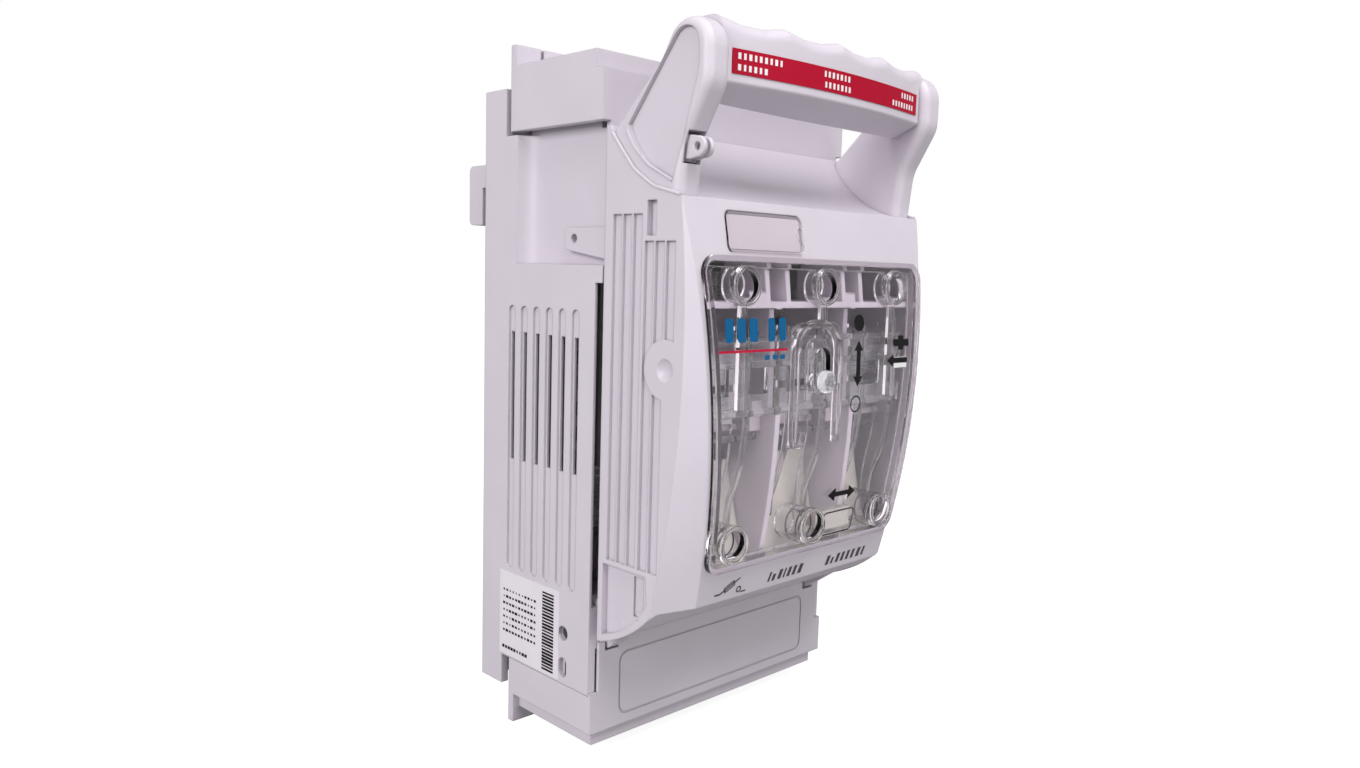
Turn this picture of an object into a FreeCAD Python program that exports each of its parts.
import FreeCAD, Part
import math
import os

# Three-pole fuse switch disconnector, size 00, that hangs on three busbars.
# Millimetres. X runs to the right seen from the front, Y to the back, Z up.
# The origin lies on the back plane, midway across, level with the top edge of the
# middle busbar, which is also the centre of the four fixing holes.

# Whole device
POLE_PITCH = 34.0
SIDE_MARGIN = 2.0
WIDTH = 3 * POLE_PITCH + 2 * SIDE_MARGIN
WALL = 2.5
RUN_GAP = 0.3
SEAT_GAP = 0.1
PHASE_WALL = 3.0
HALF = WIDTH / 2
POLES = {"left": -POLE_PITCH, "middle": 0.0, "right": POLE_PITCH}

# Busbars
BAR_PITCH = 60.0

# Base housing
BASE_DEPTH = 54.4
BASE_LOW = -BAR_PITCH - 28.1
BACK_WALL = 4.0
RIM_DEPTH = 11.0
RIM_LOW = BASE_LOW - 9.6
RIM_TOP = 87.6
SHOULDER = 35.7
NECK_INSET = 5.0
NECK_TOP = 73.6
NECK_CORNER = 16.5
NECK_SWEEP = 6.3
STACK_TOP = 88.0
STACK_REAR = 17.0
STACK_FRONT = BASE_DEPTH - 4.4
CHAMBER_LOW = BASE_LOW + 20.1
CHAMBER_TOP = 62.0
CROSS_REAR = 18.0
LIP_DEPTH = 3.0
LIP_HEIGHT = 4.9

# Fixing holes through the phase walls
FIX_PITCH_Z = 120.0
FIX_RADIUS = 3.25
FIX_HEAD_RADIUS = 5.5
FIX_TUBE_RADIUS = 6.8
FIX_FLOOR = 6.0

# Side vents
VENT_COUNT = 6
VENT_PITCH = 6.2
VENT_FIRST = 14.9
VENT_GROOVE = 3.2
VENT_GROOVE_DEPTH = 0.7
VENT_GROOVE_LOW = -59.0
VENT_GROOVE_TOP = 23.0
VENT_SLOT = 2.0
VENT_SLOT_LOW = -24.5
VENT_SLOT_TOP = 15.0

# Latch holes in the side walls, low down
LATCH_Y = 42.4
LATCH_RADIUS = 2.2
LATCH_UPPER = BASE_LOW + 15.5
LATCH_LOWER = BASE_LOW + 5.0
LATCH_DEPTH = 1.6
THIN_EDGE = 0.9
THIN_DEEP = 7.0
THIN_VENT = 1.6

# Hooks
BAR_THICK = 10.0
BAR_GAP = 0.4
PAD_PROUD = 5.0
HOOK_WIDTH = 20.0
HOOK_OVER = 7.3
HOOK_LEG = 7.7
HOOK_DROP = 12.0
HOOK_CORNER = 2.0
BAR_EDGES = {"left": BAR_PITCH, "middle": 0.0, "right": -BAR_PITCH}
CLAMP_RADIUS = 2.0
CLAMP_HEAD_RADIUS = 4.0
CLAMP_HEAD = 3.0
CLAMP_REACH = 10.0

# Current path
STRIP_WIDTH = 18.0
STRIP_THICK = 3.0
STRIP_GAP = 0.2
PAD_HEIGHT = 16.0
PAD_BELOW_EDGE = 2.0
RAIL_WIDTH = 20.0
RAIL_THICK = 3.0
RAIL_REAR = 11.0
RAIL_LOW = BASE_LOW - 5.9
RIDGE_OVERLAP = 0.8
JAW_HEIGHT = 15.0
JAW_TOP_Z = 27.5
JAW_LOW_Z = -34.5
JAW_SHEET = 2.0
JAW_HALF_FOOT = 8.0
JAW_HALF_GAP = 2.9
JAW_PINCH_Y = 37.0
JAW_MOUTH_Y = 44.0
SPRING_SHEET = 1.2
SPRING_BAND = 4.0

# Terminal screws
SCREW_Z = -BAR_PITCH - 26.0
SCREW_RADIUS = 4.0
SCREW_ACROSS = 13.0
SCREW_HEAD = 5.3
WASHER_RADIUS = 8.0
WASHER_THICK = 1.6
NUT_THICK = 4.0

# Arc plates
ARC_COUNT = 5
ARC_PITCH = 3.2
ARC_THICK = 1.0
ARC_FIRST_Z = 37.6
ARC_REAR = 24.0
ARC_FRONT = STACK_FRONT
ARC_NOTCH = 9.0
LINER_SHEET = 1.4
LINER_FLANGE = 2.6
LINER_FRONT = BASE_DEPTH - 0.8
LINER_REAR = 19.0
LINER_LOW = -21.0
LINER_TOP = 33.0
LINER_PITCH = 7.4
LINER_SLOT = 3.4
HOOD_TOP = 52.8

# Terminal covers
TOP_LOW = 74.8
TOP_STEP = 88.8
TOP_TOP = 93.9
TOP_REAR = 13.3
TOP_FRONT = BASE_DEPTH + 1.9
TOP_STEP_BACK = 3.0
TOP_WALL_TOP = 99.9
TOP_SKIRT_HALF = HALF - 2.8
TOP_SKIRT_LOW = 66.0
SLIT_X = HALF - 9.5
SLIT_WIDTH = 1.2
LOW_REAR = 15.0
LOW_FRONT = BASE_DEPTH + 1.3
LOW_SIDE_LOW = BASE_LOW - 11.4
LOW_PLATE_TOP = BASE_LOW + 15.6
LOW_PLATE_INSET = 3.0
LOW_PLATE_THICK = 1.2
LOW_STEP = BASE_LOW + 0.7
SKIRT_LOW = BASE_LOW - 15.9
SKIRT_INSET = 2.4
SKIRT_THICK = 1.6
LEG_LOW = BASE_LOW - 20.4
LEG_TOP = BASE_LOW - 7.9
LINE_HALF = HALF - 10.8
LINE_LOW = BASE_LOW - 8.5
LINE_TOP = BASE_LOW + 11.1
LINE_WIDTH = 0.5
LINE_DEPTH = 0.3
LINE_CORNER = 3.0

# Rating label
LABEL_REAR = 10.0
LABEL_FRONT = 40.5
LABEL_LOW = BASE_LOW + 0.6
LABEL_TOP = BASE_LOW + 27.6
LABEL_THICK = 0.15

# Hinge
PIVOT_Y = -BASE_DEPTH - 9.1
PIVOT_Z = -64.0
PIN_RADIUS = 2.0
PIN_RUN = 0.06
PIN_ENTRY = 0.4
ARM_INNER = HALF - 9.5
ARM_THICK = 3.5
ARM_RADIUS = 4.2
ARM_LOW = -74.5
ARM_ROOT = BASE_DEPTH - 4.4
ARM_TOE = BASE_DEPTH + 1.6

# Lid housing
LID_REAR = BASE_DEPTH + 3.6
LID_LOW = -70.4
LID_REAR_TOP = 73.0
LID_FRONT_TOP = 53.5
LID_FRONT_LOW = -56.1
LID_SIDE_LOW = -57.2
LID_SIDE_FRONT = BASE_DEPTH + 26.2
FACE_APEX = BASE_DEPTH + 38.8
FACE_APEX_Z = 2.0
CLEAR_FRONT = FACE_APEX + 12.8
FACE_RADIUS = 235.0
SCOOP_MID = (22.8 - FACE_APEX, 60.3)
BEVEL_X = 11.2
BEVEL_Y = 6.0
BEVEL_SWELL_X = 0.25
BEVEL_SWELL_Y = 0.7

# Ears and handle bar
EAR_THICK = 9.0
EAR_TOP = 97.4
EAR_STEP = 0.7
EAR_PANEL_DEPTH = 1.2
EAR_FILLET = 2.4
BAR_LOW_FRONT = 82.0
BAR_LOW_REAR = 77.4
BAR_CREST = 98.7
BAR_WAVE = 1.8
BAR_BOW = 4.0
BAR_FRONT = FACE_APEX - 1.2
BAR_REAR = FACE_APEX - 11.4
BAR_ROUND = 3.6
BAR_CREASE = 1.0
BAR_GRIPS = 4
BAND_LOW = 84.4
BAND_TOP = 90.6
BAND_HALF = HALF - 11.5
BAND_THICK = 0.25

# Window
WINDOW_LOW = -46.5
WINDOW_TOP = 39.1
WINDOW_HALF_LOW = HALF - 11.0
WINDOW_HALF_TOP = HALF - 3.6
WINDOW_CORNER = 5.0
WINDOW_PROUD = 1.8
WINDOW_RIM = 1.5
WINDOW_RIM_DEPTH = 2.5
WINDOW_RIB_DEPTH = 2.6
WINDOW_RIB = 2.4
WINDOW_LEDGE = 1.6
RING_OUTER = 5.4
RING_INNER = 4.0
RING_TOP_Z = 31.4
RING_LOW_Z = -38.5
RING_PROUD = 0.8
RING_TOP_DEPTH = 3.0
RING_LOW_DEPTH = 9.0

# Lock slide in the window
KNOB_X = -2.0
KNOB_Z = 4.0
KNOB_RADIUS = 4.3
KNOB_LENGTH = 3.4
KNOB_FLUTES = 16
STEM_RADIUS = 2.9
LOCK_TRAVEL = 7.0
LOCK_PLATE = 1.5
LOCK_HALF = HALF - 11.0
LOCK_FRONT = 3.0 - FACE_APEX
LOCK_LOW = -4.0
LOCK_TOP = 17.6
LOCK_RIB = 3.0

# Link release slide
RELEASE_X = 13.4
RELEASE_Z = -38.4
RELEASE_HALF = 7.4
RELEASE_TRAVEL = 6.0
RELEASE_THICK = 1.4
RELEASE_HEIGHT = 6.0

# Seal slide in the left ear
SEAL_Z = 65.7
SEAL_HEIGHT = 7.5
SEAL_X = HALF - EAR_THICK / 2
SEAL_THICK = 5.0
SEAL_TAIL = FACE_APEX - 9.2
SEAL_NOSE = FACE_APEX - 0.2
SEAL_TRAVEL = 6.0
SEAL_SLOT = 1.5
SEAL_EYE = 1.0

# Seal straps beside the neck
STRAP_THICK = 2.0
STRAP_REAR = 37.1
STRAP_FRONT = BASE_DEPTH + 11.6
STRAP_TOP = 46.2
STRAP_LOW_REAR = 40.0
STRAP_LOW_FRONT = 37.0
STRAP_EYE_Y = 41.4
STRAP_EYE_Z = 43.1
STRAP_EYE = 1.3

# Label holder on the lid
CARD_LEFT = -38.0
CARD_RIGHT = -7.0
CARD_LOW = 40.0
CARD_TOP = 50.6
CARD_THICK = 0.3
CARD_COVER = 1.0
CARD_NOTCH = 2.2
CARD_RECESS = 1.0
CARD_CORNER = 1.8

# Lid side relief
GROOVE_WIDTH = 3.4
GROOVE_PITCH = 4.1
GROOVE_DEPTH = 0.9
GROOVE_LOW = -45.8
GROOVE_LONG_TOP = 49.3
GROOVE_SHORT_TOP = 42.2
GROOVE_FIRST = LID_REAR + 5.2
GROOVE_SHORT_STEP = 0.5
GROOVE_LONG_COUNT = 3
GROOVE_SHORT_COUNT = 2
GROOVE_STUB_COUNT = 1
BOSS_Y = LID_SIDE_FRONT + 2.4
BOSS_Z = 9.0
BOSS_RADIUS = 8.0
DIMPLE_SPHERE = 4.2
DIMPLE_OUT = 2.9
POCKET_DEPTH = 1.9
POCKET_TOP = -47.2

# Inside the lid
LID_PHASE_WALL = 2.0
LID_PHASE_REAR = LID_REAR + 6.0
CELL_OFFSET = 4.3
CELL_WALL = 1.8
LEDGE_Z = 25.2
LEDGE_THICK = 1.8
LEDGE_REAR = FACE_APEX - 21.2
SHELF_Z = -9.2
SHELF_FRONT = 12.6 - FACE_APEX
SHELF_REAR = 23.2 - FACE_APEX
STOP_WIDTH = 4.0
STOP_FRONT = 8.2 - FACE_APEX
STOP_TALL = 8.6
CARRIER_SHEET = 1.6
CARRIER_HALF = 8.0
CARRIER_FRONT = 6.4 - FACE_APEX
CARRIER_DEEP = 5.2
CARRIER_WEB_Z = (17.0, -12.0)
CARRIER_WEB_BACK = 1.9
CLIP_THICK = 0.8
CLIP_HEIGHT = 9.0
GUARD_SHEET = 1.5
GUARD_FOOT = 11.2
GUARD_HEAD = 19.2
GUARD_RISE = 6.1
GUARD_TALL = 31.0

X_AXIS = FreeCAD.Vector(1, 0, 0)
Y_AXIS = FreeCAD.Vector(0, 1, 0)
Z_AXIS = FreeCAD.Vector(0, 0, 1)


def point(x, y, z):
    return FreeCAD.Vector(x, y, z)


def block(x_span, y_span, z_span):
    x0, x1 = sorted(x_span)
    y0, y1 = sorted(y_span)
    z0, z1 = sorted(z_span)
    return Part.makeBox(x1 - x0, y1 - y0, z1 - z0, point(x0, y0, z0))


def rod(radius, start, end):
    way = end - start
    return Part.makeCylinder(radius, way.Length, start, way)


def polygon(points):
    return Part.makePolygon(list(points) + [points[0]])


def prism_x(outline, x_span):
    x0, x1 = sorted(x_span)
    wire = outline.copy()
    wire.translate(point(x0, 0, 0))
    return Part.Face(wire).extrude(point(x1 - x0, 0, 0))


def side_polygon(pairs):
    # A closed outline in the plane X = 0 from (y, z) pairs.
    return polygon([point(0, y, z) for y, z in pairs])


def mirror(shape):
    return shape.mirror(point(0, 0, 0), X_AXIS)


def both_sides(shape):
    return [shape, mirror(shape)]


def join(shapes):
    first = shapes[0]
    return first.fuse(list(shapes[1:])).removeSplitter()


def segment(start, end):
    return Part.LineSegment(start, end).toShape()


def arc(start, middle, end):
    return Part.Arc(start, middle, end).toShape()


def rounded_slot(y, width, low, top, x_span):
    # An upright slot with round ends, cut along X.
    radius = width / 2
    x0, x1 = sorted(x_span)
    middle = block((x0, x1), (y - radius, y + radius), (low + radius, top - radius))
    ends = [rod(radius, point(x0, y, z), point(x1, y, z)) for z in (low + radius, top - radius)]
    return join([middle] + ends)


def bay(pole, wall):
    # The clear width of one pole between its phase walls, as an X span.
    centre = POLES[pole]
    half = (POLE_PITCH - PHASE_WALL) / 2
    low = max(centre - half, -HALF + wall)
    high = min(centre + half, HALF - wall)
    if pole == "left":
        low = -HALF + wall
    if pole == "right":
        high = HALF - wall
    return low, high


def neck_outline():
    # Plan of the narrowed upper part, with its concave sweep into the rim.
    inner = HALF - NECK_INSET
    sweep_end = NECK_CORNER + NECK_SWEEP
    radius = (NECK_INSET**2 + NECK_SWEEP**2) / (2 * NECK_INSET)
    centre_x = inner + radius
    start_angle = math.atan2(NECK_SWEEP, HALF - centre_x)
    half_angle = (start_angle + math.pi) / 2
    mid_x = centre_x + radius * math.cos(half_angle)
    mid_y = -sweep_end + radius * math.sin(half_angle)
    edges = [
        segment(point(-HALF, 0, 0), point(HALF, 0, 0)),
        segment(point(HALF, 0, 0), point(HALF, -NECK_CORNER, 0)),
        arc(point(HALF, -NECK_CORNER, 0), point(mid_x, mid_y, 0), point(inner, -sweep_end, 0)),
        segment(point(inner, -sweep_end, 0), point(inner, -BASE_DEPTH, 0)),
        segment(point(inner, -BASE_DEPTH, 0), point(-inner, -BASE_DEPTH, 0)),
        segment(point(-inner, -BASE_DEPTH, 0), point(-inner, -sweep_end, 0)),
        arc(point(-inner, -sweep_end, 0), point(-mid_x, mid_y, 0), point(-HALF, -NECK_CORNER, 0)),
        segment(point(-HALF, -NECK_CORNER, 0), point(-HALF, 0, 0)),
    ]
    return Part.Wire(edges)


def base_cavities():
    cuts = []
    neck_wall = NECK_INSET + WALL
    for pole in POLES:
        wide = bay(pole, WALL)
        narrow = bay(pole, neck_wall)
        front = -BASE_DEPTH - 1
        cuts.append(block(wide, (front, -BACK_WALL), (CHAMBER_LOW, SHOULDER - WALL)))
        cuts.append(block(narrow, (front, -BACK_WALL), (SHOULDER - WALL - 1, CHAMBER_TOP)))
        cuts.append(block(wide, (front, -BACK_WALL), (RIM_LOW - 1, CHAMBER_LOW - WALL)))
        cuts.append(block(wide, (-CROSS_REAR, -BACK_WALL), (CHAMBER_LOW - WALL - 1, CHAMBER_LOW + 1)))
        cuts.append(block(narrow, (front, -BACK_WALL), (CHAMBER_TOP + WALL, STACK_TOP + 1)))
        cuts.append(block(narrow, (-CROSS_REAR, -BACK_WALL), (CHAMBER_TOP - 1, CHAMBER_TOP + WALL + 1)))
        cuts.append(block(wide, (-RIM_DEPTH - 1, -BACK_WALL), (NECK_TOP, RIM_TOP + 1)))
    return cuts


def rail_ridges():
    ridges = []
    for centre in POLES.values():
        for side in (-1, 1):
            inner = centre + side * (RAIL_WIDTH / 2 - RIDGE_OVERLAP)
            outer = centre + side * (RAIL_WIDTH / 2 + 1)
            ridges.append(block((inner, outer), (-RAIL_REAR, -BACK_WALL + 0.5), (RIM_LOW, JAW_LOW_Z + 8)))
    return ridges


def hinge_arm():
    # Lower edge runs from the toe to a tangent on the round nose.
    toe_y, toe_z = -ARM_TOE, ARM_LOW
    reach = math.hypot(PIVOT_Y - toe_y, PIVOT_Z - toe_z)
    lean = math.atan2(PIVOT_Z - toe_z, PIVOT_Y - toe_y) + math.asin(ARM_RADIUS / reach)
    tangent = math.sqrt(reach**2 - ARM_RADIUS**2)
    touch = (toe_y + tangent * math.cos(lean), toe_z + tangent * math.sin(lean))
    outline = side_polygon([
        (-ARM_ROOT, ARM_LOW),
        (toe_y, toe_z),
        touch,
        (PIVOT_Y, PIVOT_Z),
        (PIVOT_Y, PIVOT_Z + ARM_RADIUS),
        (-ARM_ROOT, PIVOT_Z + ARM_RADIUS),
    ])
    x_span = (ARM_INNER, ARM_INNER + ARM_THICK)
    nose = rod(ARM_RADIUS, point(x_span[0], PIVOT_Y, PIVOT_Z), point(x_span[1], PIVOT_Y, PIVOT_Z))
    root = block((ARM_INNER, HALF - 1), (-BASE_DEPTH, -ARM_ROOT), (ARM_LOW, PIVOT_Z + ARM_RADIUS))
    arm = join([prism_x(outline, x_span), nose, root])
    bore = rod(PIN_RADIUS, point(x_span[0] - 1, PIVOT_Y, PIVOT_Z), point(x_span[1] + 1, PIVOT_Y, PIVOT_Z))
    return arm.cut(bore)


def fixing_points():
    return [(x, z) for x in (-POLE_PITCH / 2, POLE_PITCH / 2) for z in (-FIX_PITCH_Z / 2, FIX_PITCH_Z / 2)]


def base_housing():
    shell = join([
        block((-HALF, HALF), (-BASE_DEPTH, 0), (BASE_LOW, SHOULDER)),
        block((-HALF, HALF), (-RIM_DEPTH, 0), (RIM_LOW, RIM_TOP)),
        Part.Face(neck_outline()).extrude(point(0, 0, NECK_TOP)).cut(
            block((-WIDTH, WIDTH), (-WIDTH, WIDTH), (-1, SHOULDER - 1))),
        block((-HALF + NECK_INSET, HALF - NECK_INSET), (-STACK_FRONT, -STACK_REAR), (NECK_TOP - 1, STACK_TOP)),
    ])
    shell = shell.cut(base_cavities())
    tubes = [
        rod(FIX_TUBE_RADIUS, point(x, -BACK_WALL + 1, z), point(x, -BASE_DEPTH, z)) for x, z in fixing_points()
    ]
    lip = block((HALF - WALL, HALF), (-BASE_DEPTH - LIP_DEPTH, -BASE_DEPTH + 1), (SHOULDER - LIP_HEIGHT, SHOULDER))
    shell = join([shell] + tubes + rail_ridges() + both_sides(lip) + both_sides(hinge_arm()))

    cuts = []
    for x, z in fixing_points():
        cuts.append(rod(FIX_RADIUS, point(x, 1, z), point(x, -BASE_DEPTH, z)))
        cuts.append(rod(FIX_HEAD_RADIUS, point(x, -FIX_FLOOR, z), point(x, -BASE_DEPTH - 1, z)))
    for pole, centre in POLES.items():
        edge = BAR_EDGES[pole]
        half = STRIP_WIDTH / 2 + RUN_GAP
        z_span = (edge - PAD_BELOW_EDGE - PAD_HEIGHT - RUN_GAP, edge - PAD_BELOW_EDGE + RUN_GAP)
        cuts.append(block((centre - half, centre + half), (-BACK_WALL - 1, 1), z_span))
        clamp_z = edge + HOOK_OVER / 2
        cuts.append(rod(CLAMP_RADIUS + RUN_GAP, point(centre, 1, clamp_z), point(centre, -BACK_WALL - 1, clamp_z)))
    for side in (-1, 1):
        outer = side * (HALF + 1)
        inner = side * (HALF - WALL - 0.5)
        edge_y = (-BASE_DEPTH - 1, -BASE_DEPTH + THIN_DEEP)
        cuts.append(block((inner, side * (HALF - THIN_EDGE)), edge_y, (CHAMBER_LOW + 6, SHOULDER - LIP_HEIGHT)))
        vent_y = (-VENT_FIRST + VENT_PITCH / 2, -VENT_FIRST - (VENT_COUNT - 0.5) * VENT_PITCH)
        cuts.append(block((inner, side * (HALF - THIN_VENT)), vent_y, (VENT_SLOT_LOW - 2, VENT_SLOT_TOP + 2)))
        for index in range(VENT_COUNT):
            y = -VENT_FIRST - index * VENT_PITCH
            groove_x = (outer, side * (HALF - VENT_GROOVE_DEPTH))
            slot_x = (outer, side * (HALF - WALL - 1))
            cuts.append(rounded_slot(y, VENT_GROOVE, VENT_GROOVE_LOW, VENT_GROOVE_TOP, groove_x))
            cuts.append(block(slot_x, (y - VENT_SLOT / 2, y + VENT_SLOT / 2), (VENT_SLOT_LOW, VENT_SLOT_TOP)))
        latch = [point(x, -LATCH_Y, LATCH_UPPER) for x in (outer, side * (HALF - LATCH_DEPTH))]
        cuts.append(rod(LATCH_RADIUS, *latch))
        pocket_x = (outer, side * (HALF - LATCH_DEPTH))
        cuts.append(rounded_slot(-LATCH_Y, LATCH_RADIUS * 1.6, LATCH_LOWER - 3, LATCH_LOWER + 3, pocket_x))
    return shell.cut(cuts)


def busbar_hook(pole):
    centre = POLES[pole]
    edge = BAR_EDGES[pole]
    inner = PAD_PROUD + BAR_THICK + BAR_GAP
    outer = inner + HOOK_LEG
    top = edge + HOOK_OVER
    outline = side_polygon([
        (0, edge), (inner, edge), (inner, edge - HOOK_DROP), (outer, edge - HOOK_DROP), (outer, top), (0, top),
    ])
    hook = prism_x(outline, (centre - HOOK_WIDTH / 2, centre + HOOK_WIDTH / 2))
    rims = [e for e in hook.Edges if abs(e.BoundBox.YMin - outer) < 0.01 and e.BoundBox.XLength > 1]
    hook = hook.makeFillet(HOOK_CORNER, rims)
    clamp_z = edge + HOOK_OVER / 2
    return hook.cut(rod(CLAMP_RADIUS + SEAT_GAP, point(centre, -1, clamp_z), point(centre, CLAMP_REACH + 0.5, clamp_z)))


def clamp_screw(pole):
    centre = POLES[pole]
    z = BAR_EDGES[pole] + HOOK_OVER / 2
    shank = rod(CLAMP_RADIUS, point(centre, CLAMP_REACH, z), point(centre, -BACK_WALL - 1, z))
    head = rod(CLAMP_HEAD_RADIUS, point(centre, -BACK_WALL, z), point(centre, -BACK_WALL - CLAMP_HEAD, z))
    drive = block((centre - 0.6, centre + 0.6), (-BACK_WALL - CLAMP_HEAD - 1, -BACK_WALL - CLAMP_HEAD + 1.2),
                  (z - CLAMP_HEAD_RADIUS, z + CLAMP_HEAD_RADIUS))
    return join([shank, head]).cut(drive)


def contact_strip(pole):
    # Runs behind the upper jaw to the busbar's level, then out through the back wall.
    centre = POLES[pole]
    edge = BAR_EDGES[pole]
    rear = -BACK_WALL - STRIP_GAP
    pad_top = edge - PAD_BELOW_EDGE
    pad_low = pad_top - PAD_HEIGHT
    low = min(pad_low, JAW_TOP_Z - JAW_HEIGHT / 2)
    top = max(pad_top, JAW_TOP_Z + JAW_HEIGHT / 2)
    x_span = (centre - STRIP_WIDTH / 2, centre + STRIP_WIDTH / 2)
    strip = block(x_span, (rear - STRIP_THICK, rear), (low, top))
    pad = block(x_span, (rear - 1, PAD_PROUD), (pad_low, pad_top))
    clamp_z = edge + HOOK_OVER / 2
    hole = rod(CLAMP_HEAD_RADIUS + RUN_GAP, point(centre, 0, clamp_z), point(centre, rear - STRIP_THICK - 1, clamp_z))
    return join([strip, pad]).cut(hole)


def terminal_rail(pole):
    centre = POLES[pole]
    x_span = (centre - RAIL_WIDTH / 2, centre + RAIL_WIDTH / 2)
    rail = block(x_span, (-RAIL_REAR - RAIL_THICK, -RAIL_REAR), (RAIL_LOW, JAW_LOW_Z + JAW_HEIGHT / 2))
    hole = rod(SCREW_RADIUS + RUN_GAP, point(centre, 0, SCREW_Z), point(centre, -BASE_DEPTH, SCREW_Z))
    return rail.cut(hole)


def jaw(centre, middle_z, foot_y):
    # A lyre of two springy arms that grip the blade of a fuse-link.
    foot = JAW_HALF_FOOT
    sheet = JAW_SHEET
    pinch = JAW_HALF_GAP
    bend_y = foot_y - 9
    low = middle_z - JAW_HEIGHT / 2
    outer = [
        (foot, foot_y), (foot, bend_y), (pinch + sheet, -JAW_PINCH_Y), (pinch + sheet + 2.6, -JAW_MOUTH_Y),
    ]
    inner = [
        (pinch + 2.4, -JAW_MOUTH_Y), (pinch, -JAW_PINCH_Y), (foot - sheet, bend_y - 0.4), (foot - sheet, foot_y - sheet),
    ]
    half = outer + inner
    right = [point(centre + x, y, low) for x, y in half]
    left = [point(centre - x, y, low) for x, y in reversed(half)]
    return Part.Face(polygon(right + left)).extrude(point(0, 0, JAW_HEIGHT))


def jaw_spring(centre, middle_z):
    inner_x = JAW_HALF_GAP + JAW_SHEET
    inner_z = JAW_HEIGHT / 2
    y_span = (-JAW_PINCH_Y - SPRING_BAND / 2, -JAW_PINCH_Y + SPRING_BAND / 2)
    lean = SPRING_BAND / 4
    outer = block((centre - inner_x - lean - SPRING_SHEET, centre + inner_x + lean + SPRING_SHEET), y_span,
                  (middle_z - inner_z - SPRING_SHEET, middle_z + inner_z + SPRING_SHEET))
    hollow = block((centre - inner_x - lean, centre + inner_x + lean), (y_span[0] - 1, y_span[1] + 1),
                   (middle_z - inner_z, middle_z + inner_z))
    return outer.cut(hollow)


def hexagon_prism(across, start, length):
    radius = across / math.sqrt(3)
    corners = []
    for index in range(6):
        angle = math.radians(60 * index + 30)
        corners.append(start + point(radius * math.cos(angle), 0, radius * math.sin(angle)))
    return Part.Face(polygon(corners)).extrude(point(0, length, 0))


def terminal_screw(centre):
    seat = -RAIL_REAR - RAIL_THICK - WASHER_THICK
    head = hexagon_prism(SCREW_ACROSS, point(centre, seat - SCREW_HEAD, SCREW_Z), SCREW_HEAD)
    shank = rod(SCREW_RADIUS, point(centre, seat - 1, SCREW_Z), point(centre, -BACK_WALL - 1.5, SCREW_Z))
    return join([head, shank])


def terminal_washer(centre):
    seat = -RAIL_REAR - RAIL_THICK
    disc = rod(WASHER_RADIUS, point(centre, seat, SCREW_Z), point(centre, seat - WASHER_THICK, SCREW_Z))
    return disc.cut(rod(SCREW_RADIUS + SEAT_GAP, point(centre, 0, SCREW_Z), point(centre, -BASE_DEPTH, SCREW_Z)))


def terminal_nut(centre):
    half = SCREW_ACROSS / 2
    plate = block((centre - half, centre + half), (-RAIL_REAR, -RAIL_REAR + NUT_THICK), (SCREW_Z - half, SCREW_Z + half))
    return plate.cut(rod(SCREW_RADIUS + SEAT_GAP, point(centre, 0, SCREW_Z), point(centre, -BASE_DEPTH, SCREW_Z)))


def arc_chamber(pole):
    # A dark liner: walls beside the jaws with rows of vent slots, and a hood round the arc plates.
    low_x, high_x = bay(pole, WALL)
    hood_low, hood_high = bay(pole, NECK_INSET + WALL)
    sheet = LINER_SHEET
    y_span = (-LINER_FRONT, -LINER_REAR)
    walls = []
    for inner, outward in ((low_x + SEAT_GAP, 1), (high_x - SEAT_GAP, -1)):
        walls.append(block((inner, inner + outward * sheet), y_span, (LINER_LOW, LINER_TOP)))
        flange = block((inner, inner + outward * LINER_FLANGE), (-LINER_FRONT, -LINER_FRONT + sheet), (LINER_LOW, LINER_TOP))
        walls.append(flange)
    for inner, outward in ((hood_low + SEAT_GAP, 1), (hood_high - SEAT_GAP, -1)):
        walls.append(block((inner, inner + outward * sheet), y_span, (LINER_TOP - 1, HOOD_TOP)))
    x_span = (hood_low + SEAT_GAP, hood_high - SEAT_GAP)
    walls.append(block(x_span, (-LINER_REAR - sheet, -LINER_REAR), (ARC_FIRST_Z - 1, HOOD_TOP)))
    shoulder = block((low_x + SEAT_GAP, high_x - SEAT_GAP), y_span, (LINER_TOP - sheet, LINER_TOP))
    way_in = block((hood_low + sheet + SEAT_GAP, hood_high - sheet - SEAT_GAP), (-BASE_DEPTH, 0), (0, HOOD_TOP))
    walls.append(shoulder.cut(way_in))
    slots = []
    count = int((LINER_TOP - LINER_LOW) / LINER_PITCH)
    for index in range(count):
        z = LINER_LOW + LINER_PITCH * (index + 0.35)
        slots.append(block((low_x - 1, high_x + 1), (-LINER_FRONT + 3, -LINER_FRONT + 14), (z, z + LINER_SLOT)))
    return join(walls).cut(slots)


def arc_plates(pole):
    hood_low, hood_high = bay(pole, NECK_INSET + WALL)
    low_x, high_x = hood_low + LINER_SHEET + SEAT_GAP, hood_high - LINER_SHEET - SEAT_GAP
    centre = POLES[pole]
    plates = []
    for index in range(ARC_COUNT):
        z = ARC_FIRST_Z + index * ARC_PITCH
        plate = block((low_x + SEAT_GAP, high_x - SEAT_GAP), (-ARC_FRONT, -ARC_REAR), (z, z + ARC_THICK))
        notch = polygon([
            point(centre - ARC_NOTCH / 2, -ARC_FRONT - 1, z - 1),
            point(centre + ARC_NOTCH / 2, -ARC_FRONT - 1, z - 1),
            point(centre, -ARC_FRONT + ARC_NOTCH * 1.4, z - 1),
        ])
        plates.append(plate.cut(Part.Face(notch).extrude(point(0, 0, ARC_THICK + 2))))
    return plates


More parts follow.
